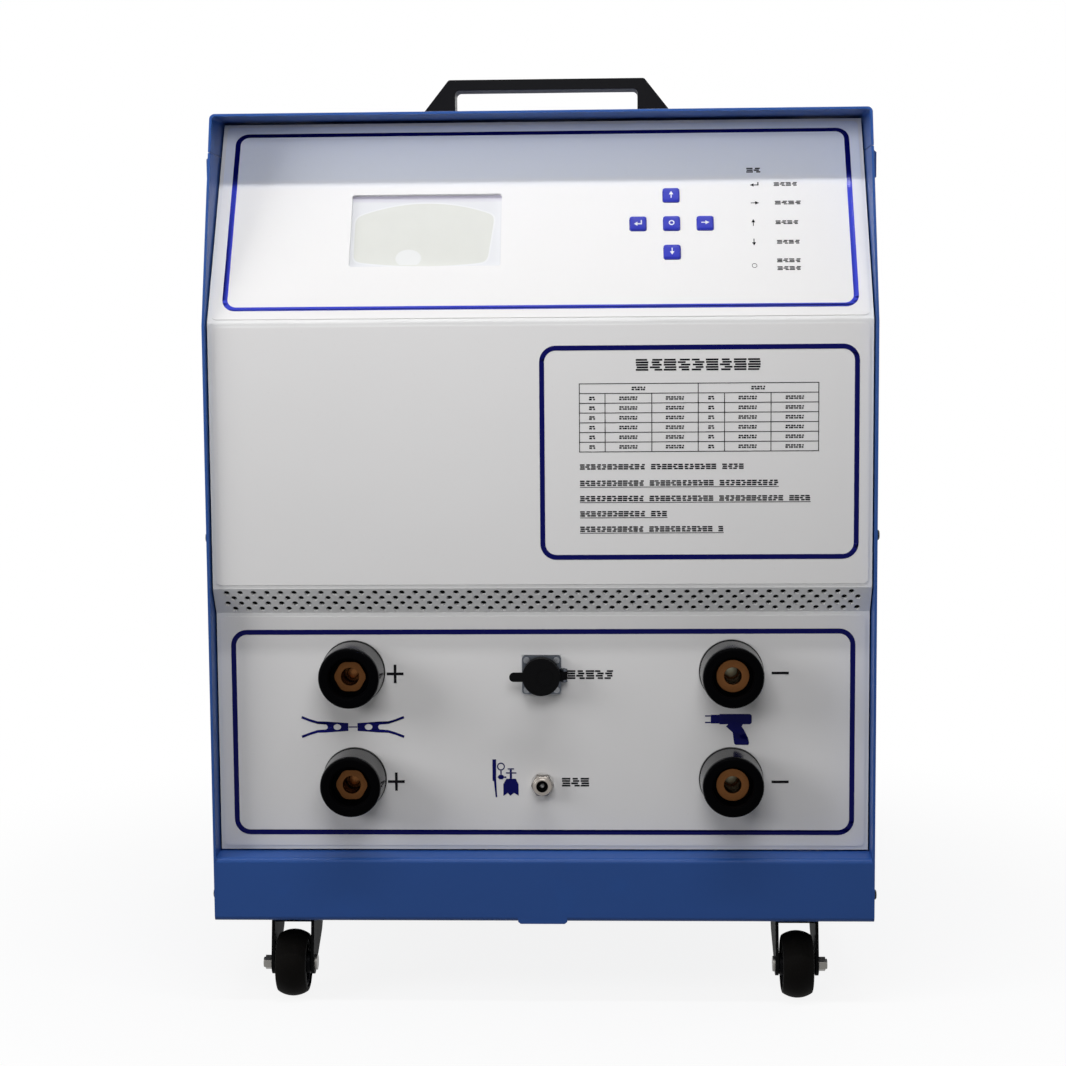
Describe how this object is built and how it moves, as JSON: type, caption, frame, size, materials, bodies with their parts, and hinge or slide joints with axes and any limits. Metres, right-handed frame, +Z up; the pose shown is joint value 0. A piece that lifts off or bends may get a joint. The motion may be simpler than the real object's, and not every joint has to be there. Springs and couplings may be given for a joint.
{
  "type": "stud welder",
  "caption": "Stud welding power source: blue sheet steel cabinet on casters with a white sloped control front, weld sockets, control socket, gas outlet and top handle.",
  "frame": {"origin": "on the ground under the middle of the machine's box", "axes": "+Z up, front towards -Y, +X to the right seen from the front"},
  "size_m": [0.5168, 0.5904, 0.7375],
  "materials": {
    "blue_paint": "semi-gloss powder coat",
    "white_paint": "semi-gloss powder coat",
    "printed_film": "glossy printed polyester film",
    "display_pane": "clear grey-green pane",
    "circuit_board": "solder mask",
    "key_blue": "domed glossy key",
    "black_plastic": "fine moulded black",
    "copper": "bare copper, slightly tarnished",
    "zinc_steel": "zinc plated",
    "socket_alloy": "matt grey plated alloy",
    "nickel": "nickel plated",
    "caster_black": "black finish",
    "wheel_rubber": "matt black",
    "hose_blue": "smooth hose",
    "breaker_grey": "moulded grey",
    "core_steel": "varnished sheet stack",
    "heatsink_alloy": "extruded"
  },
  "bodies": {
    "cabinet": {"base_pan": "blue_paint", "left_side_panel": "blue_paint", "right_side_panel": "blue_paint", "top_cover": "blue_paint", "upper_front_panel": "white_paint", "vent_strip": "white_paint", "lower_front_panel": "white_paint", "rear_panel": "blue_paint", "carry_handle": "black_plastic", "control_overlay": "printed_film", "middle_overlay": "printed_film", "lower_overlay": "printed_film", "display_window": "display_pane", "display_module": "circuit_board", "key_board": "circuit_board", "positive_upper_ring": "black_plastic", "positive_lower_ring": "black_plastic", "negative_upper_ring": "black_plastic", "negative_lower_ring": "black_plastic", "positive_inserts": "copper", "negative_inserts": "copper", "socket_nuts": "zinc_steel", "control_socket_shell": "socket_alloy", "control_socket_contacts": "black_plastic", "gas_outlet": "nickel", "gas_collet": "black_plastic", "gas_valve": "nickel", "gas_hose": "hose_blue", "gas_inlet": "nickel", "front_caster_plates": "zinc_steel", "rear_caster_brackets": "caster_black", "rear_caster_axles": "zinc_steel", "fan_frame": "black_plastic", "fan_guard": "zinc_steel", "mains_breaker": "breaker_grey", "cable_gland": "black_plastic", "transformer_core": "core_steel", "transformer_windings": "copper", "heatsink": "heatsink_alloy", "thyristor_modules": "black_plastic", "output_busbars": "copper", "control_board": "circuit_board", "fasteners": "caster_black"},
    "enter_key_body": {"enter_key": "key_blue"},
    "up_key_body": {"up_key": "key_blue"},
    "select_key_body": {"select_key": "key_blue"},
    "down_key_body": {"down_key": "key_blue"},
    "right_key_body": {"right_key": "key_blue"},
    "socket_cap_body": {"control_socket_cap": "black_plastic"},
    "toggle_body": {"breaker_toggle": "black_plastic"},
    "rotor_body": {"fan_rotor": "black_plastic"},
    "left_fork_body": {"front_left_fork": "caster_black", "front_left_axle": "zinc_steel"},
    "right_fork_body": {"front_right_fork": "caster_black", "front_right_axle": "zinc_steel"},
    "front_left_wheel_body": {"front_left_wheel": "wheel_rubber"},
    "front_right_wheel_body": {"front_right_wheel": "wheel_rubber"},
    "rear_left_wheel_body": {"rear_left_wheel": "wheel_rubber"},
    "rear_right_wheel_body": {"rear_right_wheel": "wheel_rubber"}
  },
  "joints": [
    {"name": "enter_key_press", "type": "slide", "parent": "cabinet", "child": "enter_key_body", "axis": [0, 0.8652, -0.5015], "range_m": [0, 0.0007], "stiffness_N_per_m": 2000},
    {"name": "up_key_press", "type": "slide", "parent": "cabinet", "child": "up_key_body", "axis": [0, 0.8652, -0.5015], "range_m": [0, 0.0007], "stiffness_N_per_m": 2000},
    {"name": "select_key_press", "type": "slide", "parent": "cabinet", "child": "select_key_body", "axis": [0, 0.8652, -0.5015], "range_m": [0, 0.0007], "stiffness_N_per_m": 2000},
    {"name": "down_key_press", "type": "slide", "parent": "cabinet", "child": "down_key_body", "axis": [0, 0.8652, -0.5015], "range_m": [0, 0.0007], "stiffness_N_per_m": 2000},
    {"name": "right_key_press", "type": "slide", "parent": "cabinet", "child": "right_key_body", "axis": [0, 0.8652, -0.5015], "range_m": [0, 0.0007], "stiffness_N_per_m": 2000},
    {"name": "socket_cap_hinge", "type": "hinge", "parent": "cabinet", "child": "socket_cap_body", "pos_m": [0.0175, -0.26725, 0.2575], "axis": [0, 0, 1], "range_deg": [0, 115]},
    {"name": "breaker_toggle_hinge", "type": "hinge", "parent": "cabinet", "child": "toggle_body", "pos_m": [0.14, 0.25925, 0.497], "axis": [1, 0, 0], "range_deg": [0, 44]},
    {"name": "fan_spin", "type": "hinge", "parent": "cabinet", "child": "rotor_body", "pos_m": [0, 0.23925, 0.497], "axis": [0, 1, 0], "continuous": true},
    {"name": "front_left_swivel", "type": "hinge", "parent": "cabinet", "child": "left_fork_body", "pos_m": [-0.198, -0.22875, 0.05], "axis": [0, 0, 1], "continuous": true},
    {"name": "front_left_roll", "type": "hinge", "parent": "left_fork_body", "child": "front_left_wheel_body", "pos_m": [-0.198, -0.25275, 0.026], "axis": [1, 0, 0], "continuous": true},
    {"name": "rear_left_roll", "type": "hinge", "parent": "cabinet", "child": "rear_left_wheel_body", "pos_m": [-0.198, 0.19925, 0.026], "axis": [1, 0, 0], "continuous": true},
    {"name": "front_right_swivel", "type": "hinge", "parent": "cabinet", "child": "right_fork_body", "pos_m": [0.198, -0.22875, 0.05], "axis": [0, 0, 1], "continuous": true},
    {"name": "front_right_roll", "type": "hinge", "parent": "right_fork_body", "child": "front_right_wheel_body", "pos_m": [0.198, -0.25275, 0.026], "axis": [1, 0, 0], "continuous": true},
    {"name": "rear_right_roll", "type": "hinge", "parent": "cabinet", "child": "rear_right_wheel_body", "pos_m": [0.198, 0.19925, 0.026], "axis": [1, 0, 0], "continuous": true}
  ]
}
